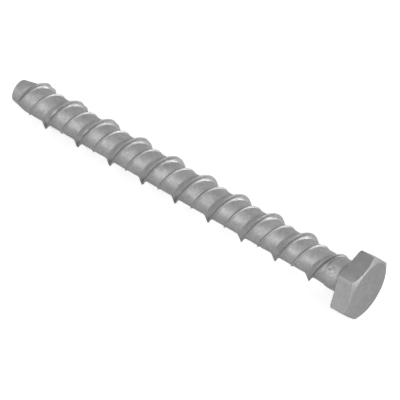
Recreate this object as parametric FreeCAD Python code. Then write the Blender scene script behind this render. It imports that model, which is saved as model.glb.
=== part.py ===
"""Concrete screw with a hexagon head, one piece of hot-dip galvanised steel.

The screw lies along X. The origin is the centre of the bearing face under the head: the head stands
towards +X, the shank and the threads run towards -X, and a flat of the hexagon faces down. Angles
round the axis are in degrees from +Y towards +Z, and lengths are in millimetres.

The threads are left-handed, as the photograph shows them: a high cutting thread and, between its
turns, a low ridge. Both keep their section and sink into the core at their two ends. The crest of
the high thread has saw-tooth notches over its first turns, which cut the wall of the hole.
"""

import FreeCAD, Part
import math
import os
from FreeCAD import Vector

# Hexagon head
HEAD_ACROSS_FLATS = 19.0
HEAD_HEIGHT = 6.0
HEAD_CHAMFER_INSET = 0.5
HEAD_CHAMFER_ANGLE = 30.0
BEARING_CORNER_CUT = 0.55
BEARING_CHAMFER_ANGLE = 30.0

# Core with its blunt tip, and the plain shank under the head
LENGTH_UNDER_HEAD = 125.0
CORE_DIAMETER = 9.4
SHANK_LENGTH = 6.1
SHANK_RISE = 0.4
SHANK_STEP_LENGTH = 1.0
NECK_FLARE = 0.4
TIP_LENGTH = 5.6
TIP_TAPER = 1.05
TIP_EDGE_CHAMFER = 0.45

# Both threads: one lead, and a hand of -1 for left or 1 for right
THREAD_HAND = -1
THREAD_LEAD = 12.38
THREAD_ANGLE_AT_HEAD = 230.3

# High thread, whose flanks are measured from the plane across the axis
HIGH_HEIGHT = 1.55
HIGH_CREST_WIDTH = 0.3
HIGH_TIP_FLANK_ANGLE = 52.0
HIGH_HEAD_FLANK_ANGLE = 8.0
HIGH_START_FROM_TIP = 3.6
HIGH_END_FROM_HEAD = 3.0
HIGH_RUN_IN = 6.2
HIGH_RUN_OUT = 9.0

# Low ridge between the turns of the high thread
LOW_HEIGHT = 0.42
LOW_FLANK_ANGLE = 50.0
LOW_LAG_TURNS = 0.432
LOW_START_FROM_TIP = 6.0
LOW_END_FROM_HEAD = 8.4
LOW_RUN = 2.5

# Notches in the crest of the high thread's first turns
NOTCHES_PER_TURN = 10
NOTCHES_START_FROM_TIP = 6.6
NOTCHED_TURNS = 4.0
NOTCH_DEPTH = 0.65
NOTCH_STEEP_SPAN = 15.0
NOTCH_GENTLE_SPAN = 18.5
NOTCH_ANGLE = 14.0
NOTCH_SIDE_ROOM = 1.1
NOTCH_FADE = 0.7

# How far the threads' feet reach into the core, how finely their helices are drawn, and how far a
# notch's wedge runs past the crest
FOOT_DEPTH = 0.6
SUNK_CREST_DEPTH = 0.12
SPANS_PER_TURN = 12
WEDGE_OVERSHOOT = 1.6


def on_axis(radius, angle, x):
    """The point at a radius and an angle round the axis."""
    turned = math.radians(angle)
    return Vector(x, radius * math.cos(turned), radius * math.sin(turned))


def outlined(points):
    """The flat face inside a closed outline with straight sides."""
    return Part.Face(Part.makePolygon(points + points[:1]))


def revolved(points):
    """The solid that an outline in the XY plane makes round the X axis."""
    return outlined(points).revolve(Vector(), Vector(1, 0, 0), 360)


def core_radius_at(x):
    """Radius of the core's surface, which narrows along the cone of the tip."""
    into_tip = max(0.0, TIP_LENGTH - LENGTH_UNDER_HEAD - x)
    share = min(1.0, into_tip / (TIP_LENGTH - TIP_EDGE_CHAMFER))
    return CORE_DIAMETER / 2 - TIP_TAPER * share


def shank():
    """Core, blunt tip, plain shank and the flare into the head, turned in one outline."""
    end = -LENGTH_UNDER_HEAD
    core = CORE_DIAMETER / 2
    plain = core + SHANK_RISE
    into_head = HEAD_HEIGHT / 2
    points = [
        Vector(end, 0, 0),
        Vector(end, core - TIP_TAPER - TIP_EDGE_CHAMFER, 0),
        Vector(end + TIP_EDGE_CHAMFER, core - TIP_TAPER, 0),
        Vector(end + TIP_LENGTH, core, 0),
        Vector(-SHANK_LENGTH - SHANK_STEP_LENGTH, core, 0),
        Vector(-SHANK_LENGTH, plain, 0),
        Vector(-NECK_FLARE, plain, 0),
        Vector(0, plain + NECK_FLARE, 0),
        Vector(into_head, plain + NECK_FLARE, 0),
        Vector(into_head, 0, 0),
    ]
    return revolved(points)


def head():
    """Hexagon with a chamfered end face and lightly cut corners at the bearing side."""
    corner = HEAD_ACROSS_FLATS / 2 / math.cos(math.radians(30))
    corners = [on_axis(corner, 60 * n, 0) for n in range(6)]
    hexagon = outlined(corners).extrude(Vector(HEAD_HEIGHT, 0, 0))
    outside = corner + HEAD_CHAMFER_INSET
    flat = HEAD_ACROSS_FLATS / 2 - HEAD_CHAMFER_INSET
    bearing = corner - BEARING_CORNER_CUT
    end_fall = (outside - flat) * math.tan(math.radians(HEAD_CHAMFER_ANGLE))
    bearing_fall = (outside - bearing) * math.tan(math.radians(BEARING_CHAMFER_ANGLE))
    blank = [
        Vector(0, 0, 0),
        Vector(0, bearing, 0),
        Vector(bearing_fall, outside, 0),
        Vector(HEAD_HEIGHT - end_fall, outside, 0),
        Vector(HEAD_HEIGHT, flat, 0),
        Vector(HEAD_HEIGHT, 0, 0),
    ]
    return hexagon.common(revolved(blank))


class Thread:
    """A helical ridge, followed by its count of turns from the plane of the bearing face to the tip."""

    def __init__(self, height, start, end, run_in, run_out, lag):
        self.height = height
        self.run_in = run_in
        self.run_out = run_out
        self.lag = lag
        self.tip_x = start - LENGTH_UNDER_HEAD
        self.head_x = -end
        self.first = self.turn_at(self.head_x)
        self.last = self.turn_at(self.tip_x)

    def turn_at(self, x):
        """Turns at which the crest passes x."""
        return self.lag - x / THREAD_LEAD

    def x_at(self, turn):
        """Place of the crest along the axis."""
        return (self.lag - turn) * THREAD_LEAD

    def angle_at(self, turn):
        """Angle of the crest round the axis."""
        return THREAD_ANGLE_AT_HEAD - THREAD_HAND * 360 * turn

    def crest_at(self, turn):
        """Radius of the crest, which rises out of the core at both ends."""
        x = self.x_at(turn)
        share = min(1.0, (x - self.tip_x) / self.run_in, (self.head_x - x) / self.run_out)
        risen = math.sin(math.radians(90 * max(0.0, share)))
        sunk = core_radius_at(x) - SUNK_CREST_DEPTH
        return sunk + (CORE_DIAMETER / 2 + self.height - sunk) * risen

    def helix(self, turns, x_shift, below_crest):
        """A helical edge beside the crest, through one point at each of the turns."""
        points = []
        for turn in turns:
            radius = self.crest_at(turn) - below_crest
            points.append(on_axis(radius, self.angle_at(turn), self.x_at(turn) + x_shift))
        curve = Part.BSplineCurve()
        curve.interpolate(Points=points, Parameters=turns)
        return curve.toShape()

    def length(self, section, first, last):
        """The solid that a section makes between two counts of turns."""
        count = max(3, round((last - first) * SPANS_PER_TURN))
        turns = [first + (last - first) * n / count for n in range(count + 1)]
        edges = [self.helix(turns, x_shift, below) for x_shift, below in section]
        faces = [Part.makeRuledSurface(edges[n - 1], edges[n]) for n in range(len(edges))]
        for vertex in (0, 1):
            faces.append(outlined([edge.Vertexes[vertex].Point for edge in edges]))
        shell = Part.makeShell(faces)
        shell.sewShape()
        return Part.makeSolid(shell)

    def solids(self, crest_width, tip_angle, head_angle):
        """The whole ridge in lengths of about one turn, each as a solid."""
        deep = self.height + FOOT_DEPTH
        half = crest_width / 2
        tip_foot = -half - deep * math.tan(math.radians(tip_angle))
        head_foot = half + deep * math.tan(math.radians(head_angle))
        crest = [(-half, 0), (half, 0)] if crest_width else [(0, 0)]
        section = [(tip_foot, deep), *crest, (head_foot, deep)]
        count = max(1, round(self.last - self.first))
        step = (self.last - self.first) / count
        ends = [self.first + step * n for n in range(count + 1)]
        return [self.length(section, a, b) for a, b in zip(ends, ends[1:])]


def high_thread():
    """The cutting thread."""
    return Thread(HIGH_HEIGHT, HIGH_START_FROM_TIP, HIGH_END_FROM_HEAD, HIGH_RUN_IN, HIGH_RUN_OUT, 0)


def low_ridge():
    """The ridge between the turns of the cutting thread."""
    return Thread(LOW_HEIGHT, LOW_START_FROM_TIP, LOW_END_FROM_HEAD, LOW_RUN, LOW_RUN, LOW_LAG_TURNS)


def beyond(start, through):
    """The point past a second point, on the line from a first one."""
    return start + (through - start) * WEDGE_OVERSHOOT


def notch(thread, turn, depth):
    """A wedge that cuts one notch, steeper on the side that meets the wall as the screw is driven."""
    angle = thread.angle_at(turn)
    crest = thread.crest_at(turn)
    half_width = HIGH_CREST_WIDTH / 2 + NOTCH_SIDE_ROOM
    x = thread.x_at(turn) - half_width
    gentle_way = -THREAD_HAND * NOTCH_GENTLE_SPAN
    bottom = on_axis(crest - depth, angle, x)
    steep = on_axis(crest, angle + THREAD_HAND * NOTCH_STEEP_SPAN, x)
    gentle = on_axis(crest, angle + gentle_way, x)
    outside = on_axis(crest + HIGH_HEIGHT, angle + gentle_way / 2, x)
    wedge = outlined([bottom, beyond(bottom, steep), outside, beyond(bottom, gentle)])
    return wedge.extrude(Vector(2 * half_width, 0, 0))


def notches(thread):
    """The notches at even angles, which fade out from the tip towards the head."""
    outermost = thread.turn_at(NOTCHES_START_FROM_TIP - LENGTH_UNDER_HEAD)
    offset = (NOTCH_ANGLE - THREAD_ANGLE_AT_HEAD) * -THREAD_HAND / 360 * NOTCHES_PER_TURN
    number = math.floor(outermost * NOTCHES_PER_TURN - offset)
    cutters = []
    turn = (number + offset) / NOTCHES_PER_TURN
    while turn > max(outermost - NOTCHED_TURNS, thread.first):
        left = 1 - (outermost - turn) / NOTCHED_TURNS
        cutters.append(notch(thread, turn, NOTCH_DEPTH * left**NOTCH_FADE))
        turn -= 1 / NOTCHES_PER_TURN
    return cutters


def screw():
    """The screw as one solid."""
    high = high_thread()
    ridges = high.solids(HIGH_CREST_WIDTH, HIGH_TIP_FLANK_ANGLE, HIGH_HEAD_FLANK_ANGLE)
    ridges += low_ridge().solids(0, LOW_FLANK_ANGLE, LOW_FLANK_ANGLE)
    body = shank().fuse(ridges).cut(notches(high))
    return body.fuse(head())


if __name__ == "__main__":
    os.makedirs("parts", exist_ok=True)
    screw().exportStep("parts/concrete_screw.step")
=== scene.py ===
"""Concrete screw with a hexagon head: its visible body, galvanised finish, stage and camera.

Laid out as an add-on and run as a script. Lengths are in metres in the frame of the CAD: the screw
lies along X with the centre of its bearing face at the origin, the head towards +X and the tip
towards -X. Angles round the axis run from +Y towards +Z.
"""

import math

import bpy
import numpy as np
from bpy.props import FloatProperty, FloatVectorProperty, IntProperty, PointerProperty
from mathutils import Matrix, Vector, noise


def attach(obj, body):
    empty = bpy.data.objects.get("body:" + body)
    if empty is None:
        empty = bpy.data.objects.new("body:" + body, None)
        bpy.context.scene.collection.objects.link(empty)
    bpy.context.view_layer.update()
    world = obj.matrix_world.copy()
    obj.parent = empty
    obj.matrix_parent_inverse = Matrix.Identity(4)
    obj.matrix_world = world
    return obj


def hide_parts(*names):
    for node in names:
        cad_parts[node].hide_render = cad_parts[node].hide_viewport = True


bl_info = {
    "name": "Concrete screw",
    "version": (1, 0, 0),
    "blender": (4, 5, 0),
    "location": "3D View > Sidebar > Screw",
    "description": "Builds a galvanised concrete screw with its finish and its stage",
    "category": "Object",
}

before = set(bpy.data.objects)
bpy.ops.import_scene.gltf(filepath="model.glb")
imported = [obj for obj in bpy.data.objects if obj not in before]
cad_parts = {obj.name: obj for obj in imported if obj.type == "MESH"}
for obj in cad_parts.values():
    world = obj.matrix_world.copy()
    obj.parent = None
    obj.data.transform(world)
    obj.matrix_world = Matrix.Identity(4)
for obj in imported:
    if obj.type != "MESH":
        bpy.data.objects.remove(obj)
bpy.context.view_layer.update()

MM = 0.001
SCREW_NODE = "concrete_screw"


def length_property(name, description, millimetres):
    """A length, given in millimetres and kept in metres."""
    return FloatProperty(name=name, description=description, default=millimetres * MM, unit="LENGTH")


def angle_property(name, description, degrees):
    """An angle, given in degrees and kept in radians."""
    default = math.radians(degrees)
    return FloatProperty(name=name, description=description, default=default, subtype="ANGLE")


def colour_property(name, description, default):
    """A colour, given in linear red, green and blue."""
    return FloatVectorProperty(name=name, description=description, default=default, subtype="COLOR")


class ScrewSizes(bpy.types.PropertyGroup):
    """Sizes of the screw, with the zinc coat and the roundings that the solid does without."""

    across_flats: length_property("Across flats", "Spanner size of the head", 19.0)
    head_height: length_property("Head height", "From the bearing face to the end face", 6.0)
    chamfer_inset: length_property(
        "Chamfer inset", "How far inside the flats the end face's chamfer begins", 0.5
    )
    corner_cut: length_property(
        "Corner cut", "How much the bearing side's chamfer takes off the corners", 0.55
    )
    chamfer_angle: angle_property("Chamfer angle", "Both chamfers of the head", 30)
    length: length_property("Length under head", "From the bearing face to the tip", 125.0)
    core_radius: length_property("Core radius", "Core between the threads", 4.7)
    shank_length: length_property("Plain shank", "Thicker length under the head", 6.1)
    shank_rise: length_property("Shank rise", "How far the plain shank stands over the core", 0.4)
    shank_step: length_property("Shank step", "Length of the slope up to the shank", 1.0)
    neck_flare: length_property("Neck flare", "Fillet between the shank and the head", 0.4)
    tip_length: length_property("Tip length", "Cone of the tip", 5.6)
    tip_taper: length_property("Tip taper", "How much the tip's radius narrows", 1.05)
    tip_edge: length_property("Tip edge", "Rounding of the tip's end", 0.45)
    lead: length_property("Lead", "Advance in one turn", 12.38)
    angle_at_head: angle_property(
        "Angle at head", "Angle of the high crest in the plane of the bearing face", 230.3
    )
    high_height: length_property("High thread", "Height over the core", 1.65)
    high_crest: length_property("High crest", "Width of the high thread's crest", 0.3)
    tip_flank: angle_property("Tip flank", "From the plane across the axis", 52)
    head_flank: angle_property("Head flank", "From the plane across the axis", 8)
    last_flank: angle_property("Last flank", "The flank towards the head where the high thread sinks", 38)
    high_start: length_property("High start", "Distance of its start from the tip", 3.15)
    high_end: length_property("High end", "Distance of its end from the head", 3.0)
    high_run_in: length_property("High run-in", "Length over which it rises", 6.2)
    high_run_out: length_property("High run-out", "Length over which it sinks", 9.0)
    low_height: length_property("Low ridge", "Height over the core", 0.42)
    low_flank: angle_property("Low flank", "The side of the low ridge towards the tip", 40)
    low_head_flank: angle_property("Low head flank", "The side of the low ridge towards the head", 36)
    low_lag: FloatProperty(
        name="Low lag", description="Share of the lead by which it follows the high crest", default=0.432
    )
    low_start: length_property("Low start", "Distance of its start from the tip", 6.0)
    low_end: length_property("Low end", "Distance of its end from the head", 8.4)
    low_run: length_property("Low run", "Length over which it rises and sinks", 2.5)
    notches: IntProperty(name="Notches", description="Notches in each turn", default=10, min=1)
    notched_turns: FloatProperty(name="Notched turns", description="Turns that have notches", default=4.0)
    notches_start: length_property("Notches start", "Distance from the tip", 6.6)
    notch_depth: length_property("Notch depth", "Depth of the first notches", 0.65)
    notch_steep: angle_property("Notch steep side", "Its share of the turn", 15)
    notch_gentle: angle_property("Notch gentle side", "Its share of the turn", 18.5)
    notch_angle: angle_property("Notch angle", "Place of one notch's bottom", 14)
    notch_fade: FloatProperty(
        name="Notch fade", description="How late the notches fade out along the thread", default=0.7
    )
    crest_round: length_property("Crest rounding", "Rounding of the crest", 0.2)
    crest_bevel: length_property(
        "Crest bevel", "How far the flank towards the tip reaches over the crest", 0.22
    )
    foot_fillet: length_property("Foot fillet", "Rounding at the foot of the steep flank", 1.0)
    edge_round: length_property("Edge rounding", "Rounding of the head's edges under the zinc", 0.2)
    corner_round: length_property("Corner rounding", "Rounding of the hexagon's corners", 0.22)
    coat_run: length_property("Coat run", "How much thicker the zinc stands on one side's crests", 0.14)
    coat_side: angle_property("Coat side", "Angle at which the coat stands thickest", 50)
    columns: IntProperty(name="Columns", description="Columns round the shank", default=150, min=24)


class ZincFinish(bpy.types.PropertyGroup):
    """Colours and roughness of the galvanised surface."""

    dull: colour_property("Dull zinc", "Darker clouds of the coat", (0.268, 0.268, 0.268))
    bright: colour_property("Bright zinc", "Lighter clouds of the coat", (0.35, 0.35, 0.348))
    # Colour of the pits and marks, and also of the painted shade
    pit_and_shade_colour: colour_property("Specks", "Small dark pits in the coat", (0.13, 0.13, 0.13))
    # Colour of the painted highlights on crests, on a flat of the head and on one drop
    highlight_colour: colour_property("Shine", "Rubbed crests and smooth drops of the coat", (0.65, 0.65, 0.65))
    roughness: FloatProperty(name="Roughness", description="Mean roughness", default=0.42, subtype="FACTOR")
    metallic: FloatProperty(
        name="Metallic", description="Share of bare metal", default=0.6, subtype="FACTOR"
    )
    lumps: length_property("Lumps", "Height of the zinc's unevenness", 0.022)


class StageSettings(bpy.types.PropertyGroup):
    """Floor, surround and camera."""

    floor: colour_property("Floor", "Colour of the floor", (0.86, 0.86, 0.86))
    surround: FloatProperty(name="Surround", description="Light from all round", default=0.03)
    distance: FloatProperty(
        name="Camera distance", description="From its aim", default=1.0992, unit="LENGTH"
    )
    lens: FloatProperty(name="Lens", description="Focal length in millimetres", default=331.632)


def smooth_max(a, b, width):
    """The larger of two heights, with the corner between them rounded over a width."""
    near = np.maximum(width - np.abs(a - b), 0.0) / width
    return np.maximum(a, b) + near * near * width / 4


def smooth_min(a, b, width):
    """The smaller of two heights, with the corner between them rounded over a width."""
    return -smooth_max(-a, -b, width)


def ramp(value, start, run):
    """Rises from 0 at a start to 1 after a run."""
    return np.clip((value - start) / run, 0.0, 1.0)


def rounded_bend(past, radius, lean):
    """How far a section falls past the bend into a flank, with the bend rounded. The flank leans
    from the plane across the axis by an angle."""
    flat = radius * np.tan(math.pi / 4 - lean / 2)
    reach = radius * np.cos(lean)
    arc = radius - np.sqrt(radius**2 - np.clip(past + flat, 0.0, reach) ** 2)
    return np.where(past + flat > reach, past / np.tan(lean), arc)


def risen_share(x, start, end, run_in, run_out):
    """How far a ridge has risen out of the core at a place along the axis, from 0 to 1."""
    share = np.minimum((x - start) / run_in, (end - x) / run_out)
    return np.sin(np.clip(share, 0.0, 1.0) * math.pi / 2)


class Shank:
    """Radius of the shank's surface along the helix of the high crest."""

    # Depth of a crest that is sunk in the core
    SUNK = 0.12 * MM
    # The core's steps are softened by a mean over these shares of a length
    SOFT_STEP = 0.42 * MM
    SOFT_SHARES = (-1, -0.5, 0, 0.5, 1)
    # Where the flank towards the head begins to lean near the head, and over what length
    LAST_START = -9.2 * MM
    LAST_RUN = 3.5 * MM
    # Least share of the crest's rounding, and how much more of it the side towards the head has
    LEAST_ROUNDING = 0.25
    HEAD_SIDE_ROUNDING = 0.6
    # Fillet at the steep flank's foot as a share of the crest's rise, and its least radius
    FILLET_SHARE = 0.65
    LEAST_FILLET = 0.001 * MM
    # Softness of the notches' edges
    SOFT_NOTCH = 0.12 * MM
    # The low crest: how far it sits towards the head, how round it is, and its share of the coat
    LOW_SHIFT = 0.05 * MM
    LOW_ROUND = 0.13 * MM
    LOW_COAT = 0.4
    # Softness of the low ridge's foot, and how much softer it is towards the tip
    LOW_FOOT = 0.14 * MM
    LOW_TIP_FOOT = 0.2 * MM
    # Softness of the high thread's foot, and its growth with the rise on the side towards the tip
    HIGH_FOOT = 0.1 * MM
    FOOT_GROWTH = 0.1
    # How much softer the other side is near the head, from where, and over what length
    LAST_FOOT = 0.3 * MM
    LAST_FOOT_START = -10 * MM
    LAST_FOOT_RUN = 3 * MM
    # Width round the crest over which one side's foot goes over into the other's
    CREST_SPAN = 0.4 * MM
    # How far the high thread reaches beside its crest, and the least rise that counts as a ridge
    HIGH_REACH = 2.6 * MM
    LEAST_RISE = 0.2 * MM

    def __init__(self, sizes):
        self.s = sizes

    def core(self, x):
        """Radius of the core, the tip's cone and the plain shank."""
        s = self.s
        places = [
            -s.length,
            -s.length + s.tip_edge,
            -s.length + s.tip_length,
            -s.shank_length - s.shank_step,
            -s.shank_length,
            0.0,
        ]
        narrow = s.core_radius - s.tip_taper
        plain = s.core_radius + s.shank_rise
        radii = [narrow, narrow, s.core_radius, s.core_radius, plain, plain]
        moved = [np.interp(x + share * self.SOFT_STEP, places, radii) for share in self.SOFT_SHARES]
        return sum(moved) / len(moved)

    def angle(self, turn):
        """Angle of the high crest, in radians, after a count of turns from the bearing face."""
        return self.s.angle_at_head + 2 * math.pi * turn

    def coat_share(self, turn):
        """Share of the coat's extra thickness that a crest has at an angle."""
        return 0.5 + 0.5 * np.cos(self.angle(turn) - self.s.coat_side)

    def notch_share(self, turn):
        """Share of the notch depth at an angle, from 0 on the crest to 1 at a notch's bottom."""
        s = self.s
        pitch = 2 * math.pi / s.notches
        past = np.mod(self.angle(turn) - s.notch_angle, pitch)
        gentle = 1 - past / s.notch_gentle
        steep = 1 - (pitch - past) / s.notch_steep
        return np.maximum(np.maximum(gentle, steep), 0.0)

    def high_thread(self, turn, offset, core):
        """Radius of the high thread at an offset from its crest, and the rise of that crest."""
        s = self.s
        crest_x = -turn * s.lead
        sunk = self.core(crest_x) - self.SUNK
        risen = risen_share(crest_x, s.high_start - s.length, -s.high_end, s.high_run_in, s.high_run_out)
        full = s.core_radius + s.high_height + s.coat_run * self.coat_share(turn)
        crest = sunk + (full - sunk) * risen
        rise = crest - core
        share = np.clip(rise / s.high_height, 0.0, 1.0)
        bevel = s.crest_bevel * share
        last = ramp(crest_x, self.LAST_START, self.LAST_RUN)
        tip_lean = np.arctan(math.tan(s.tip_flank) + bevel / s.high_height)
        head_lean = s.head_flank + (s.last_flank - s.head_flank) * last
        tip_round = s.crest_round * np.maximum(share, self.LEAST_ROUNDING) * (1 + last)
        head_round = tip_round * (1 + self.HEAD_SIDE_ROUNDING * (1 - last))
        half = s.high_crest / 2
        fall = rounded_bend(bevel - offset - half, tip_round, tip_lean)
        fall = fall + rounded_bend(offset - half, head_round, head_lean)
        foot = half + rise * np.tan(head_lean)
        fillet = np.clip(self.FILLET_SHARE * rise, self.LEAST_FILLET, s.foot_fillet)
        at_foot = core + rounded_bend(foot - offset, fillet, head_lean)
        high = np.where(offset > (half + foot) / 2, at_foot, crest - fall)
        outermost = (s.length - s.notches_start) / s.lead
        left = np.clip(1 - (outermost - turn) / s.notched_turns, 0.0, 1.0)
        depth = s.notch_depth * left**s.notch_fade * (turn < outermost)
        notched = smooth_min(high, crest - depth * self.notch_share(turn), self.SOFT_NOTCH)
        return np.where(depth > 0, notched, high), rise

    def low_ridge(self, turn, offset):
        """Radius of the low ridge at an offset from the high crest, and the softness of its foot."""
        s = self.s
        lag = s.low_lag * s.lead
        crest_x = -turn * s.lead + lag
        sunk = self.core(crest_x) - self.SUNK
        risen = risen_share(crest_x, s.low_start - s.length, -s.low_end, s.low_run, s.low_run)
        full = s.core_radius + s.low_height + self.LOW_COAT * s.coat_run * self.coat_share(turn)
        crest = sunk + (full - sunk) * risen
        beside = offset - lag - self.LOW_SHIFT
        rounded = np.sqrt(beside**2 + self.LOW_ROUND**2) - self.LOW_ROUND
        lean = np.where(beside < 0, s.low_flank, s.low_head_flank)
        foot = self.LOW_FOOT + self.LOW_TIP_FOOT * risen * (beside < 0)
        return crest - rounded / np.tan(lean), foot

    def radius(self, turn, offset):
        """Place along the axis and radius at an offset from the high crest, and how much of a ridge
        it is, from 0 on the core to 1 on a full crest."""
        s = self.s
        x = -turn * s.lead + offset
        core = self.core(x)
        high, rise = self.high_thread(turn, offset, core)
        low, low_foot = self.low_ridge(turn, offset)
        tip_foot = self.HIGH_FOOT + self.FOOT_GROWTH * np.clip(rise, 0.0, s.high_height)
        head_foot = self.HIGH_FOOT + self.LAST_FOOT * ramp(x, self.LAST_FOOT_START, self.LAST_FOOT_RUN)
        towards_head = ramp(offset, -self.CREST_SPAN / 2, self.CREST_SPAN)
        surface = smooth_max(core, high, tip_foot + (head_foot - tip_foot) * towards_head)
        surface = smooth_max(surface, low, low_foot)
        at_high = (np.abs(offset) < self.HIGH_REACH) & (x < -s.length / 2)
        full = np.where(at_high, np.maximum(rise, self.LEAST_RISE), s.high_height)
        return x, surface, np.clip((surface - core) / full, 0.0, 1.0)


# Offsets of the mesh's rows in millimetres, from the high crest and from the low one
HIGH_ROWS = (
    (-3.0, -2.75, -2.55, -2.35, -2.15, -1.95, -1.75, -1.45, -1.1, -0.75, -0.45, -0.25, -0.12, -0.04)
    + (0.02, 0.06, 0.09, 0.115, 0.135, 0.15, 0.165, 0.185, 0.205, 0.225, 0.25, 0.275, 0.3, 0.34)
    + (0.38, 0.43, 0.49, 0.56, 0.64, 0.73, 0.84, 0.97, 1.12, 1.28, 1.6, 2.3, 3.2)
)
LOW_ROWS = (
    (-0.85, -0.65, -0.53, -0.42, -0.27, -0.14, -0.05, 0.05, 0.14, 0.27, 0.42, 0.53, 0.65, 0.85)
    + (1.3, 1.9, 2.6, 3.3)
)

# The grid along the helix ends this far from the head and the tip, and its ends take in rows this near
GRID_FROM_HEAD = 2.4 * MM
GRID_FROM_TIP = 3.0 * MM
JOINS_WITHIN = 0.05 * MM

# Rings of the tip: shares of the way from the grid to the end's rounding, steps of that rounding,
# and shares of the end face's radius
TIP_SHARES = (0.35, 0.65, 0.85)
TIP_STEPS = 5
END_SHARES = (0.75, 0.5, 0.25)

# Rings of the neck: places along the axis, the fillet in flares of the neck, and its steps
NECK_PLACES = (-2.0 * MM, -1.4 * MM, -0.9 * MM)
NECK_FILLET = 1.25
NECK_STEPS = 6

# Columns of the head in degrees from each corner, the bearing face's inner radius in widths across
# flats, and the rings of the end face in shares of its radius
HEAD_COLUMNS = (0.0, 0.3, 0.6, 0.95, 1.4, 2.0, 2.8, 3.8, 5.0, 6.3, 8.0, 10.5, 13.5, 17.0, 21.0, 25.5)
BEARING_START = 0.42
FACE_SHARES = (0.94, 0.86, 0.72, 0.56, 0.4, 0.24, 0.1)
HALF_SIDE = math.radians(30)


def ridge_offsets(sizes):
    """Offsets of the mesh's rows from the high crest, close together where the section turns."""
    low = sizes.low_lag * sizes.lead / MM
    rows = HIGH_ROWS + tuple(low + d for d in LOW_ROWS)
    return sorted(d * MM for d in rows)[::-1]


class MeshParts:
    """Vertices, faces and ridge shares gathered for one mesh."""

    def __init__(self):
        self.points = []
        self.faces = []
        self.ridge = []

    def add(self, point, ridge=0.0):
        """Adds a point and returns its number."""
        self.points.append(point)
        self.ridge.append(ridge)
        return len(self.points) - 1

    def ring(self, x, radii, angles):
        """A ring of points round the axis."""
        return [self.add((x, r * math.cos(a), r * math.sin(a))) for r, a in zip(radii, angles)]

    def band(self, upper, lower):
        """Faces between two rings of as many points, seen from outside with the upper one at +X."""
        count = len(upper)
        for n in range(count):
            after = (n + 1) % count
            self.face([upper[n], upper[after], lower[after], lower[n]])

    def face(self, corners):
        """One face, without its doubled corners."""
        kept = [c for n, c in enumerate(corners) if c != corners[n - 1]]
        if len(set(kept)) > 2:
            self.faces.append(kept[::-1])


def threaded_length(parts, shank, sizes):
    """The sheared grid that follows the helix. Returns its rings at the head end and the tip end, and
    the angles of their points."""
    columns = sizes.columns
    offsets = ridge_offsets(sizes)
    x_high = -GRID_FROM_HEAD
    x_low = -sizes.length + GRID_FROM_TIP
    first = -1
    last = math.ceil(sizes.length / sizes.lead) + 1
    shares = np.arange(columns) / columns
    turns = np.array([t for t in range(first, last) for _ in offsets])[:, None] + shares[None, :]
    along = np.array([d for _ in range(first, last) for d in offsets])[:, None] + 0 * turns
    x, radius, ridge = shank.radius(turns, along)
    angle = shank.angle(turns)
    angles = [shank.angle(share) for share in shares]
    head_ring = parts.ring(x_high, shank.core(np.full(columns, x_high)), angles)
    tip_ring = parts.ring(x_low, shank.core(np.full(columns, x_low)), angles)
    numbers = np.empty(x.shape, int)
    for row in range(x.shape[0]):
        for col in range(columns):
            if x[row, col] > x_high - JOINS_WITHIN:
                numbers[row, col] = head_ring[col]
            elif x[row, col] < x_low + JOINS_WITHIN:
                numbers[row, col] = tip_ring[col]
            else:
                r = radius[row, col]
                a = angle[row, col]
                point = (x[row, col], r * math.cos(a), r * math.sin(a))
                numbers[row, col] = parts.add(point, ridge[row, col])
    beside = np.roll(numbers, -1, axis=1)
    past_tip = np.full(len(offsets), tip_ring[0])
    beside[:, -1] = np.concatenate((numbers[len(offsets) :, 0], past_tip))
    for row in range(x.shape[0] - 1):
        for col in range(columns):
            corners = (numbers[row, col], beside[row, col], beside[row + 1, col], numbers[row + 1, col])
            parts.face([int(c) for c in corners])
    return head_ring, tip_ring, angles


def tip_end(parts, shank, sizes, ring, angles):
    """Rings from the threaded length to the tip's end face, with its edge rounded."""
    columns = len(angles)
    narrow = sizes.core_radius - sizes.tip_taper
    edge = sizes.tip_edge
    rings = []
    for share in TIP_SHARES:
        x = -sizes.length + GRID_FROM_TIP + share * (edge - GRID_FROM_TIP)
        rings.append((x, shank.core(np.full(columns, x))))
    for n in range(TIP_STEPS + 1):
        turn = math.pi / 2 * n / TIP_STEPS
        x = -sizes.length + edge * (1 - math.sin(turn))
        r = narrow - edge * (1 - math.cos(turn))
        rings.append((x, [r] * columns))
    for share in END_SHARES:
        rings.append((-sizes.length, [(narrow - edge) * share] * columns))
    for x, radii in rings:
        lower = parts.ring(x, radii, angles)
        parts.band(ring, lower)
        ring = lower
    centre = parts.add((-sizes.length, 0.0, 0.0))
    for n in range(columns):
        parts.face([ring[n], ring[(n + 1) % columns], centre])


def neck(parts, shank, sizes, ring, angles):
    """Rings from the threaded length up to the bearing face. Returns the outermost."""
    columns = len(angles)
    plain = sizes.core_radius + sizes.shank_rise
    fillet = sizes.neck_flare * NECK_FILLET
    rings = [(x, shank.core(np.full(columns, x))) for x in NECK_PLACES]
    for n in range(NECK_STEPS + 1):
        turn = math.pi / 2 * n / NECK_STEPS
        x = -fillet * (1 - math.sin(turn))
        r = plain + fillet * (1 - math.cos(turn))
        rings.append((x, [r] * columns))
    for x, radii in rings:
        upper = parts.ring(x, radii, angles)
        parts.band(upper, ring)
        ring = upper
    return ring


def hexagon_radius(sizes, angle):
    """Radius of the hexagon at an angle, with its corners rounded."""
    flat = sizes.across_flats / 2
    turn = math.radians(abs((math.degrees(angle) + 30) % 60 - 30))
    rounding = sizes.corner_round
    centre = flat / math.cos(HALF_SIDE) - rounding / math.cos(HALF_SIDE)
    edge = math.atan2(rounding / 2, centre + rounding * math.cos(HALF_SIDE))
    if turn < edge:
        return centre * math.cos(turn) + math.sqrt(rounding**2 - (centre * math.sin(turn)) ** 2)
    return flat / math.cos(HALF_SIDE - turn)


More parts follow.
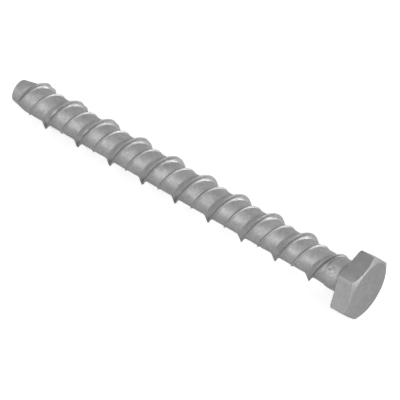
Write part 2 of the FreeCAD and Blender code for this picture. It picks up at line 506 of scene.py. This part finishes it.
def head_profile(sizes, radius):
    """Points (distance from the axis, x) round the head's edge, where the hexagon has this radius."""
    edge = sizes.edge_round
    slope = math.tan(sizes.chamfer_angle)
    bearing = sizes.across_flats / 2 / math.cos(HALF_SIDE) - sizes.corner_cut
    flat = sizes.across_flats / 2 - sizes.chamfer_inset
    height = sizes.head_height
    wall = radius - edge
    shift = edge / math.cos(sizes.chamfer_angle)
    low_cone = (wall - bearing) * slope + shift
    low_r = bearing + (edge - shift) / slope
    high_x = height - edge
    high_cone = height - (wall - flat) * slope - shift
    high_r = flat + (height - high_x - shift) / slope
    tilt = math.pi / 2 - sizes.chamfer_angle
    # Each rounding: the middle of its arc, the angles it runs between and its steps
    arcs = [
        ((min(low_r, wall), edge), -math.pi / 2, -tilt, 2),
        ((wall, max(low_cone, edge)), -tilt, 0.0, 4),
        ((wall, min(high_cone, high_x)), 0.0, tilt, 4),
        ((min(high_r, wall), high_x), tilt, math.pi / 2, 3),
    ]
    points = []
    for (r, x), begin, end, count in arcs:
        if begin == 0.0:
            below = points[-1][1]
            points += [(radius, below + (x - below) * share) for share in (0.33, 0.67)]
        for n in range(count + 1):
            turn = begin + (end - begin) * n / count
            points.append((r + edge * math.cos(turn), x + edge * math.sin(turn)))
    return points


def head(parts, sizes):
    """The head's surface from inside its bearing face to the middle of its end face. Returns the
    innermost ring of the bearing face and the angles of its points."""
    angles = []
    for corner in range(0, 360, 60):
        angles += [corner - d for d in reversed(HEAD_COLUMNS[1:])]
        angles += [corner + d for d in HEAD_COLUMNS]
        angles.append(corner + 30)
    angles = [math.radians(a) for a in angles]
    profiles = [head_profile(sizes, hexagon_radius(sizes, a)) for a in angles]
    first = parts.ring(0.0, [sizes.across_flats * BEARING_START] * len(angles), angles)
    ring = first
    for level in zip(*profiles):
        upper = [parts.add((x, r * math.cos(a), r * math.sin(a))) for (r, x), a in zip(level, angles)]
        parts.band(upper, ring)
        ring = upper
    edge_radius = sizes.across_flats / 2 - sizes.chamfer_inset
    for share in FACE_SHARES:
        upper = parts.ring(sizes.head_height, [edge_radius * share] * len(angles), angles)
        parts.band(upper, ring)
        ring = upper
    centre = parts.add((sizes.head_height, 0.0, 0.0))
    for n in range(len(angles)):
        parts.face([ring[(n + 1) % len(ring)], ring[n], centre])
    return first, angles


def bearing_ring(parts, inner, inner_angles, outer, outer_angles):
    """Flat faces between two rings in the plane of the bearing face that differ in their counts."""
    full = 2 * math.pi
    order_in = sorted(range(len(inner)), key=lambda n: inner_angles[n] % full)
    order_out = sorted(range(len(outer)), key=lambda n: outer_angles[n] % full)
    angle_in = [inner_angles[n] % full for n in order_in]
    angle_out = [outer_angles[n] % full for n in order_out]
    angle_in.append(angle_in[0] + full)
    angle_out.append(angle_out[0] + full)
    order_in.append(order_in[0])
    order_out.append(order_out[0])
    i = 0
    o = 0
    while i < len(inner) or o < len(outer):
        if o == len(outer) or (i < len(inner) and angle_in[i + 1] <= angle_out[o + 1]):
            parts.face([outer[order_out[o]], inner[order_in[i + 1]], inner[order_in[i]]])
            i += 1
        else:
            parts.face([inner[order_in[i]], outer[order_out[o]], outer[order_out[o + 1]]])
            o += 1


# Lumps of the coat: waves for each millimetre, and the same for finer ones, with their share of the
# height and where their noise starts
WAVES = 0.45
RIPPLES = 1.1
RIPPLE_SHARE = 0.6
RIPPLE_SHIFT = Vector((7, 3, 1))

# Drops near the head: waves for each millimetre, where their noise starts, how much of it is left
# out, how many times as high they are, and where along the axis they gather
DROP_WAVES = 0.9
DROP_SHIFT = Vector((2, 9, 4))
DROP_THRESHOLD = 0.15
DROP_GAIN = 4
DROP_PLACE = -5 * MM
DROP_REACH = 5 * MM

# Room that the lumps leave free at the tip, at the bearing face and round the axis
LUMPS_FROM_TIP = 0.2 * MM
LUMPS_FROM_HEAD = 0.1 * MM
LUMPS_FROM_AXIS = 2 * MM


def zinc_lumps(parts, sizes, height):
    """Moves the points along the radius by the unevenness of the zinc, more so near the head."""
    moved = []
    for x, y, z in parts.points:
        place = Vector((x, y, z)) / MM
        wave = noise.noise(place * WAVES) + RIPPLE_SHARE * noise.noise(place * RIPPLES + RIPPLE_SHIFT)
        near_head = max(0.0, 1.0 - abs(x - DROP_PLACE) / DROP_REACH)
        drop = max(0.0, noise.noise(place * DROP_WAVES + DROP_SHIFT) - DROP_THRESHOLD)
        push = height * (wave + drop * near_head * DROP_GAIN)
        away = math.hypot(y, z)
        inside = -sizes.length + LUMPS_FROM_TIP < x < -LUMPS_FROM_HEAD
        share = 1 + push / away if inside and away > LUMPS_FROM_AXIS else 1.0
        moved.append((x, y * share, z * share))
    parts.points = moved


class SCREW_OT_body(bpy.types.Operator):
    """Builds the screw's body in one piece: shank, threads and head"""

    bl_idname = "screw.body"
    bl_label = "Screw body"

    def execute(self, context):
        sizes = context.scene.screw_sizes
        finish = context.scene.screw_finish
        shank = Shank(sizes)
        parts = MeshParts()
        head_ring, tip_ring, angles = threaded_length(parts, shank, sizes)
        tip_end(parts, shank, sizes, tip_ring, angles)
        neck_ring = neck(parts, shank, sizes, head_ring, angles)
        bearing, head_angles = head(parts, sizes)
        bearing_ring(parts, neck_ring, angles, bearing, head_angles)
        zinc_lumps(parts, sizes, finish.lumps)
        mesh = bpy.data.meshes.new("screw_body")
        mesh.from_pydata(parts.points, [], parts.faces)
        ridge = mesh.attributes.new("ridge", "FLOAT", "POINT")
        ridge.data.foreach_set("value", parts.ridge)
        mesh.validate()
        mesh.update()
        mesh.shade_smooth()
        body = bpy.data.objects.new("screw_body", mesh)
        context.scene.collection.objects.link(body)
        mesh.materials.append(zinc_material(finish))
        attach(body, "root")
        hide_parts(SCREW_NODE)
        return {"FINISHED"}


def new_group(name, inputs, outputs):
    """A shader node group with named sockets."""
    group = bpy.data.node_groups.new(name, "ShaderNodeTree")
    for socket, kind, value in inputs:
        made = group.interface.new_socket(socket, in_out="INPUT", socket_type=kind)
        made.default_value = value
    for socket, kind in outputs:
        group.interface.new_socket(socket, in_out="OUTPUT", socket_type=kind)
    return group, group.nodes.new("NodeGroupInput"), group.nodes.new("NodeGroupOutput")


def noise_texture(tree, place, scale, detail, roughness):
    """A noise texture at a scale given per metre, on the coordinates of a place."""
    node = tree.nodes.new("ShaderNodeTexNoise")
    node.inputs["Scale"].default_value = scale
    node.inputs["Detail"].default_value = detail
    node.inputs["Roughness"].default_value = roughness
    tree.links.new(place, node.inputs["Vector"])
    return node.outputs["Fac"]


def map_range(tree, value, low, high, new_low=0.0, new_high=1.0):
    """Spreads a value from one range to another and clamps it."""
    node = tree.nodes.new("ShaderNodeMapRange")
    node.inputs["From Min"].default_value = low
    node.inputs["From Max"].default_value = high
    node.inputs["To Min"].default_value = new_low
    node.inputs["To Max"].default_value = new_high
    tree.links.new(value, node.inputs["Value"])
    return node.outputs["Result"]


def mix_colour(tree, factor, first, second):
    """Mixes two colours by a mask."""
    node = tree.nodes.new("ShaderNodeMix")
    node.data_type = "RGBA"
    tree.links.new(factor, node.inputs["Factor"])
    for value, socket in ((first, node.inputs["A"]), (second, node.inputs["B"])):
        if hasattr(value, "is_linked"):
            tree.links.new(value, socket)
        else:
            socket.default_value = (*value, 1.0)
    return node.outputs["Result"]


def arithmetic(tree, kind, first, *others):
    """Math nodes that take up one value after the other, each a socket or a number."""
    result = first
    for other in others:
        node = tree.nodes.new("ShaderNodeMath")
        node.operation = kind
        for value, socket in zip((result, other), node.inputs):
            if hasattr(value, "is_linked"):
                tree.links.new(value, socket)
            else:
                socket.default_value = value
        result = node.outputs["Value"]
    return result


# Noises of the coat: scale per metre, detail and roughness
CLOUD_NOISES = ((260, 3, 0.55), (900, 4, 0.6), (2300, 2, 0.5))
GRAIN_NOISE = (2800, 3, 0.6)
PIT_NOISE = (1500, 2, 0.5)
DROP_SCALE = 620

# What of each noise shows, and the heights of frozen drops and of grain in depths of a pit
CLOUD_RANGE = (1.2, 1.8)
PIT_RANGE = (0.34, 0.26)
DROP_RANGE = (0.22, 0.02)
DROP_HEIGHT = 0.5
GRAIN_HEIGHT = 0.55


def zinc_clouds_group():
    """Clouds of brighter and duller zinc, a few millimetres across."""
    group, taken, given = new_group(
        "zinc_clouds",
        [
            ("Vector", "NodeSocketVector", (0, 0, 0)),
            ("Dull", "NodeSocketColor", (0.3, 0.3, 0.3, 1)),
            ("Bright", "NodeSocketColor", (0.4, 0.4, 0.4, 1)),
        ],
        [("Color", "NodeSocketColor"), ("Cloud", "NodeSocketFloat")],
    )
    noises = [noise_texture(group, taken.outputs["Vector"], *settings) for settings in CLOUD_NOISES]
    cloud = map_range(group, arithmetic(group, "ADD", *noises), *CLOUD_RANGE)
    colour = mix_colour(group, cloud, taken.outputs["Dull"], taken.outputs["Bright"])
    group.links.new(colour, given.inputs["Color"])
    group.links.new(cloud, given.inputs["Cloud"])
    return group


def zinc_grain_group():
    """Fine grain of the coat, with pits and small frozen drops, as a mask and a height."""
    group, taken, given = new_group(
        "zinc_grain",
        [("Vector", "NodeSocketVector", (0, 0, 0))],
        [("Pits", "NodeSocketFloat"), ("Height", "NodeSocketFloat")],
    )
    place = taken.outputs["Vector"]
    grain = noise_texture(group, place, *GRAIN_NOISE)
    pit = map_range(group, noise_texture(group, place, *PIT_NOISE), *PIT_RANGE)
    drops = group.nodes.new("ShaderNodeTexVoronoi")
    drops.inputs["Scale"].default_value = DROP_SCALE
    group.links.new(place, drops.inputs["Vector"])
    drop = map_range(group, drops.outputs["Distance"], *DROP_RANGE)
    rise = arithmetic(group, "MULTIPLY", drop, DROP_HEIGHT)
    rough = arithmetic(group, "MULTIPLY", grain, GRAIN_HEIGHT)
    height = arithmetic(group, "SUBTRACT", arithmetic(group, "ADD", rise, rough), pit)
    group.links.new(pit, given.inputs["Pits"])
    group.links.new(height, given.inputs["Height"])
    return group


# Marks in the coat: x, angle round the axis, distance from it and radius in millimetres, then how
# far each stands out of the coat or into it, and how dark it is, or below nought how bright as a
# painted highlight
COAT_MARKS = (
    (-5.8, 118.0, 5.1, 0.6, -4.5, 0.5),
    # A raised drop whose bright tone is a painted highlight
    (-4.6, 121.0, 5.1, 0.5, 3.0, -0.8),
    (-4.7, 107.0, 5.1, 0.7, -3.0, 0.25),
    (-49.3, 127.0, 4.7, 0.4, -1.8, 0.5),
    (-118.3, 133.0, 4.4, 0.7, -1.6, 0.2),
    (-117.0, 118.0, 4.5, 0.4, -1.4, 0.15),
    (-95.3, 117.0, 6.2, 0.4, -1.5, 0.45),
    (-19.1, 121.0, 4.7, 0.45, -1.6, 0.2),
    # These six darken and dent the flat at 150 degrees along its edge with the chamfer
    (4.66, 121.4, 10.83, 0.4, -0.6, 0.4),
    (4.85, 124.0, 10.58, 0.4, -0.6, 0.4),
    (5.0, 126.4, 10.36, 0.4, -0.6, 0.4),
    (5.18, 129.1, 10.17, 0.4, -0.6, 0.35),
    (5.34, 131.8, 10.0, 0.4, -0.6, 0.3),
    (5.5, 134.1, 9.87, 0.4, -0.4, 0.25),
)
# Share of a mark's radius over which it is at its fullest
MARK_CORE = 0.2

# Masks by an axis for painted shade and painted highlights: between two places in millimetres, and the
# strengths there
PLACE_TONES = {
    # Painted shade in the corner between the shank and the head, kept off the head itself
    "neck": ("X", -2.6, -1.8, 0.0, 0.5),
    "under_head": ("X", -0.02, 0.02, 1.0, 0.0),
    # Painted shade on the upper flat of the head, lighter towards its corner at 120 degrees
    "top_flat": ("Z", 9.25, 9.45, 0.0, 0.4),
    "from_corner": ("Y", -5.3, -2.5, 0.15, 1.0),
    # Painted shade on the teeth of the -Y side, growing away from the head
    "below": ("Y", -5.3, -6.1, 0.0, 0.95),
    "from_head": ("X", -30, -60, 0.25, 1.0),
    # Where the painted shade of the front crests grows towards the tip, and the sides whose crests take
    # painted shade and painted highlights
    "at_tip": ("X", -75, -100, 1.0, 1.7),
    "front_side": ("Y", 0.0, -3.0, 0.0, 1.2),
    "back_side": ("Y", -1.5, 0.5, 0.0, 1.0),
    # Painted shade on the first crest at the tip
    "first_turn": ("X", -117.8, -119.0, 0.0, 1.0),
    # Painted shade on the head's end face
    "end_face": ("X", 5.9, 5.98, 0.0, 0.27),
}

# Masks on the ridges for painted shade, painted highlights and rougher worn crests: between two shares of a
# full ridge, and the strengths there
RIDGE_TONES = {
    # Painted shade on the crests of the -Y side, more towards the tip
    "front_crest_shade": (0.8, 1.0, 0.0, 0.22),
    # Painted highlight on the crests of the +Y side
    "crest": (0.75, 0.95, 0.0, 0.22),
    # Painted shade on the first crest at the tip
    "first_crest": (0.3, 0.8, 0.0, 0.6),
    "worn": (0.7, 0.95, 0.0, 0.2),
}

# The flat of the head that is painted lighter, a painted highlight: which way it faces in Y and Z, and its
# tone along that way
FRONT_FLAT_WAY = (-0.866, 0.5)
FRONT_FLAT = (9.3 * MM, 9.45 * MM, 0.0, 0.17)

# How dark the pits are, and how the painted shade and painted highlights of the crests go from the dull
# clouds to the bright ones
PIT_SHADE = 0.25
PATCHY = (0.0, 1.0, 1.2, 0.7)

SPECULAR_TINT = (0.3, 0.3, 0.3, 1.0)
ROUGHNESS_SPREAD = 0.05
BUMP_STRENGTH = 0.5
BUMP_DISTANCE = 0.06 * MM


def coat_marks(tree, place):
    """Single pits and drops of the coat at their places, as a dark mask, a mask of painted highlight and a
    height.
    """
    dark = []
    painted_highlights = []
    heights = []
    for x, angle, away, radius, rise, shade in COAT_MARKS:
        turned = math.radians(angle)
        apart = tree.nodes.new("ShaderNodeVectorMath")
        apart.operation = "DISTANCE"
        tree.links.new(place, apart.inputs[0])
        apart.inputs[1].default_value = (x * MM, away * MM * math.cos(turned), away * MM * math.sin(turned))
        near = map_range(tree, apart.outputs["Value"], radius * MM, MARK_CORE * radius * MM)
        heights.append(arithmetic(tree, "MULTIPLY", near, rise))
        masks = painted_highlights if shade < 0 else dark
        masks.append(arithmetic(tree, "MULTIPLY", near, abs(shade)))
    dark_mask = arithmetic(tree, "MAXIMUM", *dark)
    marks_highlight_mask = arithmetic(tree, "MAXIMUM", *painted_highlights)
    return dark_mask, marks_highlight_mask, arithmetic(tree, "ADD", *heights)


def coat_tones(tree, place, cloud):
    """Painted shade and painted highlights by where a point lies: a dark and a bright mask, and how worn a
    crest is.
    """
    along = tree.nodes.new("ShaderNodeSeparateXYZ")
    tree.links.new(place, along.inputs[0])
    ridge = tree.nodes.new("ShaderNodeAttribute")
    ridge.attribute_name = "ridge"
    tone = {}
    for name, (axis, start, end, low, high) in PLACE_TONES.items():
        tone[name] = map_range(tree, along.outputs[axis], start * MM, end * MM, low, high)
    for name, ranges in RIDGE_TONES.items():
        tone[name] = map_range(tree, ridge.outputs["Fac"], *ranges)
    patchy = map_range(tree, cloud, *PATCHY)
    across_y = arithmetic(tree, "MULTIPLY", along.outputs["Y"], FRONT_FLAT_WAY[0])
    across_z = arithmetic(tree, "MULTIPLY", along.outputs["Z"], FRONT_FLAT_WAY[1])
    painted_flat_highlight = map_range(tree, arithmetic(tree, "ADD", across_y, across_z), *FRONT_FLAT)
    # Painted shade of the coat's tones
    dark = arithmetic(
        tree,
        "MAXIMUM",
        # Painted shade in the corner under the head
        arithmetic(tree, "MULTIPLY", tone["neck"], tone["under_head"]),
        # Painted shade on the upper flat
        arithmetic(tree, "MULTIPLY", tone["top_flat"], tone["from_corner"]),
        # Painted shade on the teeth of the -Y side
        arithmetic(tree, "MULTIPLY", tone["below"], tone["from_head"]),
        # Painted shade on the crests of the -Y side near the tip
        arithmetic(tree, "MULTIPLY", tone["front_crest_shade"], patchy, tone["front_side"], tone["at_tip"]),
        # Painted shade on the first crest
        arithmetic(tree, "MULTIPLY", tone["first_crest"], tone["first_turn"]),
        # Painted shade on the end face
        tone["end_face"],
    )
    # Painted highlights on the crests of the +Y side and on the flat at 150 degrees
    crests = arithmetic(tree, "MULTIPLY", tone["crest"], tone["back_side"], patchy)
    return dark, arithmetic(tree, "MAXIMUM", crests, painted_flat_highlight), tone["worn"]


def zinc_material(finish):
    """Matt galvanised zinc: cloudy grey with pits and grain, painted shade in the corner at the head and
    painted light elsewhere.
    """
    material = bpy.data.materials.new("galvanised_zinc")
    material.use_nodes = True
    tree = material.node_tree
    shader = tree.nodes["Principled BSDF"]
    shader.inputs["Metallic"].default_value = finish.metallic
    shader.inputs["Specular Tint"].default_value = SPECULAR_TINT
    place = tree.nodes.new("ShaderNodeTexCoord").outputs["Object"]
    clouds = tree.nodes.new("ShaderNodeGroup")
    clouds.node_tree = zinc_clouds_group()
    clouds.inputs["Dull"].default_value = (*finish.dull, 1.0)
    clouds.inputs["Bright"].default_value = (*finish.bright, 1.0)
    grain = tree.nodes.new("ShaderNodeGroup")
    grain.node_tree = zinc_grain_group()
    tree.links.new(place, clouds.inputs["Vector"])
    tree.links.new(place, grain.inputs["Vector"])
    pits = arithmetic(tree, "MULTIPLY", grain.outputs["Pits"], PIT_SHADE)
    dark_marks, highlight_of_marks, marks_height = coat_marks(tree, place)
    painted_shade_tones, painted_highlight_tones, worn = coat_tones(tree, place, clouds.outputs["Cloud"])
    # Pits and marks, and the painted shade
    dark = arithmetic(tree, "MAXIMUM", pits, dark_marks, painted_shade_tones)
    # Painted highlights of one drop, some crests and a flat
    painted_highlights = arithmetic(tree, "MAXIMUM", highlight_of_marks, painted_highlight_tones)
    colour = mix_colour(tree, dark, clouds.outputs["Color"], tuple(finish.pit_and_shade_colour))
    colour = mix_colour(tree, painted_highlights, colour, tuple(finish.highlight_colour))
    tree.links.new(colour, shader.inputs["Base Color"])
    roughest = finish.roughness + ROUGHNESS_SPREAD
    smoothest = finish.roughness - ROUGHNESS_SPREAD
    spread = map_range(tree, clouds.outputs["Cloud"], 0.0, 1.0, roughest, smoothest)
    tree.links.new(arithmetic(tree, "ADD", spread, worn), shader.inputs["Roughness"])
    bump = tree.nodes.new("ShaderNodeBump")
    bump.inputs["Strength"].default_value = BUMP_STRENGTH
    bump.inputs["Distance"].default_value = BUMP_DISTANCE
    height = arithmetic(tree, "ADD", grain.outputs["Height"], marks_height)
    tree.links.new(height, bump.inputs["Height"])
    tree.links.new(bump.outputs["Normal"], shader.inputs["Normal"])
    return material


# The head's points lie past this x, its resting edge is this thin, and the thread begins this far on
HEAD_FROM = -0.5 * MM
EDGE_DEPTH = 0.01 * MM
THREAD_AWAY = 20 * MM

# Floor: how far it reaches, its roughness, gloss and glow, and its faint grain in two greys
FLOOR_REACH = 4.0
FLOOR_ROUGHNESS = 0.9
FLOOR_GLOSS = 0.1
FLOOR_GLOW = 0.56
FLOOR_NOISE = (60, 2, 0.5)
FLOOR_PALER = 0.98
WHITE = (1.0, 1.0, 1.0, 1.0)

# Soft lamps round the aim: name, angle round the vertical from +X towards +Y, angle over the floor
# and power in watts
LAMPS = (
    ("back_low_lamp", 15, 5, 1.9),
    ("side_lamp", 75, 5, 4.6),
    ("tip_side_lamp", 165, 5, 1.25),
    ("tip_lamp", 195, 5, 0.56),
    ("head_lamp", 315, 5, 1.45),
    ("back_lamp", 0, 25, 1.9),
    ("back_high_lamp", 40, 25, 3.4),
    ("front_lamp", 240, 25, 1.15),
    ("front_high_lamp", 221, 48, 1.1),
    ("high_lamp", 272, 48, 1.3),
    ("top_lamp", 180, 72, 0.5),
)
LAMP_DISTANCE = 0.9
LAMP_SIZE = 0.45

# Camera: its axes, its aim, its shift, its sensor in millimetres and how far it sees
CAMERA_RIGHT = Vector((0.794238, 0.601927, -0.08288))
CAMERA_UP = Vector((-0.455969, 0.68061, 0.573466))
CAMERA_BACK = Vector((0.401594, -0.417677, 0.815026))
CAMERA_AIM = Vector((-60.0 * MM, 0.0, 0.0))
CAMERA_SHIFT = (0.03006, -0.03238)
CAMERA_SENSOR = 36.0
CAMERA_REACH = 20.0


def resting_plane():
    """A point and the slope along X of the floor that the head's flat and the thread both touch."""
    body = bpy.data.objects["screw_body"]
    count = len(body.data.vertices)
    points = np.zeros(count * 3)
    body.data.vertices.foreach_get("co", points)
    points = points.reshape(-1, 3)
    head_points = points[points[:, 0] > HEAD_FROM]
    lowest = head_points[:, 2].min()
    edge_x = head_points[head_points[:, 2] < lowest + EDGE_DEPTH][:, 0].min()
    thread = points[points[:, 0] < edge_x - THREAD_AWAY]
    slope = ((thread[:, 2] - lowest) / (thread[:, 0] - edge_x)).max()
    return edge_x, lowest, slope


def seen_directly(tree):
    """1 for what the camera sees straight, in a reflection or through something, 0 for its light."""
    path = tree.nodes.new("ShaderNodeLightPath")
    rays = [path.outputs[f"Is {kind} Ray"] for kind in ("Camera", "Glossy", "Transmission")]
    return arithmetic(tree, "ADD", *rays)


def floor_material(colour):
    """Pale floor that looks white to the camera and in reflections, and keeps the shadow."""
    material = bpy.data.materials.new("pale_floor")
    material.use_nodes = True
    tree = material.node_tree
    shader = tree.nodes["Principled BSDF"]
    shader.inputs["Roughness"].default_value = FLOOR_ROUGHNESS
    shader.inputs["Specular IOR Level"].default_value = FLOOR_GLOSS
    place = tree.nodes.new("ShaderNodeTexCoord").outputs["Object"]
    grain = noise_texture(tree, place, *FLOOR_NOISE)
    tint = mix_colour(tree, grain, tuple(colour), tuple(FLOOR_PALER * c for c in colour))
    tree.links.new(tint, shader.inputs["Base Color"])
    shader.inputs["Emission Color"].default_value = WHITE
    glow = arithmetic(tree, "MULTIPLY", seen_directly(tree), FLOOR_GLOW)
    tree.links.new(glow, shader.inputs["Emission Strength"])
    return material


def lay_floor(scene, colour):
    """The floor, tilted so that the head and the thread both lie on it."""
    edge_x, lowest, slope = resting_plane()
    mesh = bpy.data.meshes.new("floor")
    reach = FLOOR_REACH
    corners = [(-reach, -reach), (reach, -reach), (reach, reach), (-reach, reach)]
    mesh.from_pydata([(x, y, lowest + slope * (x - edge_x)) for x, y in corners], [], [(0, 1, 2, 3)])
    floor = bpy.data.objects.new("floor", mesh)
    scene.collection.objects.link(floor)
    mesh.materials.append(floor_material(colour))


def direction(around, over):
    """The way out at an angle round the vertical and an angle over the floor, in degrees."""
    flat = math.cos(math.radians(over))
    turned = math.radians(around)
    return Vector((flat * math.cos(turned), flat * math.sin(turned), math.sin(math.radians(over))))


def area_lamp(scene, name, place, aim, power):
    """A soft square lamp that faces its aim and isn't seen itself."""
    data = bpy.data.lights.new(name, "AREA")
    data.shape = "SQUARE"
    data.size = LAMP_SIZE
    data.energy = power
    lamp = bpy.data.objects.new(name, data)
    scene.collection.objects.link(lamp)
    lamp.visible_camera = False
    lamp.location = place
    lamp.rotation_mode = "QUATERNION"
    lamp.rotation_quaternion = (place - aim).to_track_quat("Z", "Y")


def light_surround(scene, brightness):
    """A surround that looks white and gives only a little light."""
    world = bpy.data.worlds.new("studio")
    world.use_nodes = True
    scene.world = world
    tree = world.node_tree
    background = tree.nodes["Background"]
    background.inputs["Color"].default_value = WHITE
    strength = map_range(tree, seen_directly(tree), 0.0, 1.0, brightness, 1.0)
    tree.links.new(strength, background.inputs["Strength"])


def place_camera(scene, distance, lens):
    """The camera, which sees the screw from the photograph's side."""
    data = bpy.data.cameras.new("camera")
    data.lens = lens
    data.sensor_width = CAMERA_SENSOR
    data.shift_x, data.shift_y = CAMERA_SHIFT
    data.clip_end = CAMERA_REACH
    camera = bpy.data.objects.new("camera", data)
    scene.collection.objects.link(camera)
    turned = Matrix((CAMERA_RIGHT, CAMERA_UP, CAMERA_BACK)).transposed().to_4x4()
    camera.matrix_world = Matrix.Translation(CAMERA_AIM + CAMERA_BACK * distance) @ turned
    scene.camera = camera


class SCREW_OT_stage(bpy.types.Operator):
    """Lays the floor, sets the lamps and the surround, and places the camera"""

    bl_idname = "screw.stage"
    bl_label = "Stage"

    def execute(self, context):
        scene = context.scene
        settings = scene.screw_stage
        lay_floor(scene, settings.floor)
        for name, around, over, power in LAMPS:
            place = CAMERA_AIM + LAMP_DISTANCE * direction(around, over)
            area_lamp(scene, name, place, CAMERA_AIM, power)
        light_surround(scene, settings.surround)
        place_camera(scene, settings.distance, settings.lens)
        scene.view_settings.view_transform = "Standard"
        return {"FINISHED"}


class VIEW3D_PT_screw(bpy.types.Panel):
    """Sizes, finish and stage of the screw"""

    bl_label = "Concrete screw"
    bl_space_type = "VIEW_3D"
    bl_region_type = "UI"
    bl_category = "Screw"

    def draw(self, context):
        layout = self.layout
        scene = context.scene
        layout.operator(SCREW_OT_body.bl_idname)
        layout.operator(SCREW_OT_stage.bl_idname)
        for settings in (scene.screw_sizes, scene.screw_finish, scene.screw_stage):
            box = layout.box()
            for name in settings.__annotations__:
                box.prop(settings, name)


CLASSES = (ScrewSizes, ZincFinish, StageSettings, SCREW_OT_body, SCREW_OT_stage, VIEW3D_PT_screw)


def register():
    for cls in CLASSES:
        bpy.utils.register_class(cls)
    bpy.types.Scene.screw_sizes = PointerProperty(type=ScrewSizes)
    bpy.types.Scene.screw_finish = PointerProperty(type=ZincFinish)
    bpy.types.Scene.screw_stage = PointerProperty(type=StageSettings)


def unregister():
    del bpy.types.Scene.screw_stage
    del bpy.types.Scene.screw_finish
    del bpy.types.Scene.screw_sizes
    for cls in reversed(CLASSES):
        bpy.utils.unregister_class(cls)


def main():
    register()
    bpy.ops.screw.body()
    bpy.ops.screw.stage()


if __name__ == "__main__":
    main()
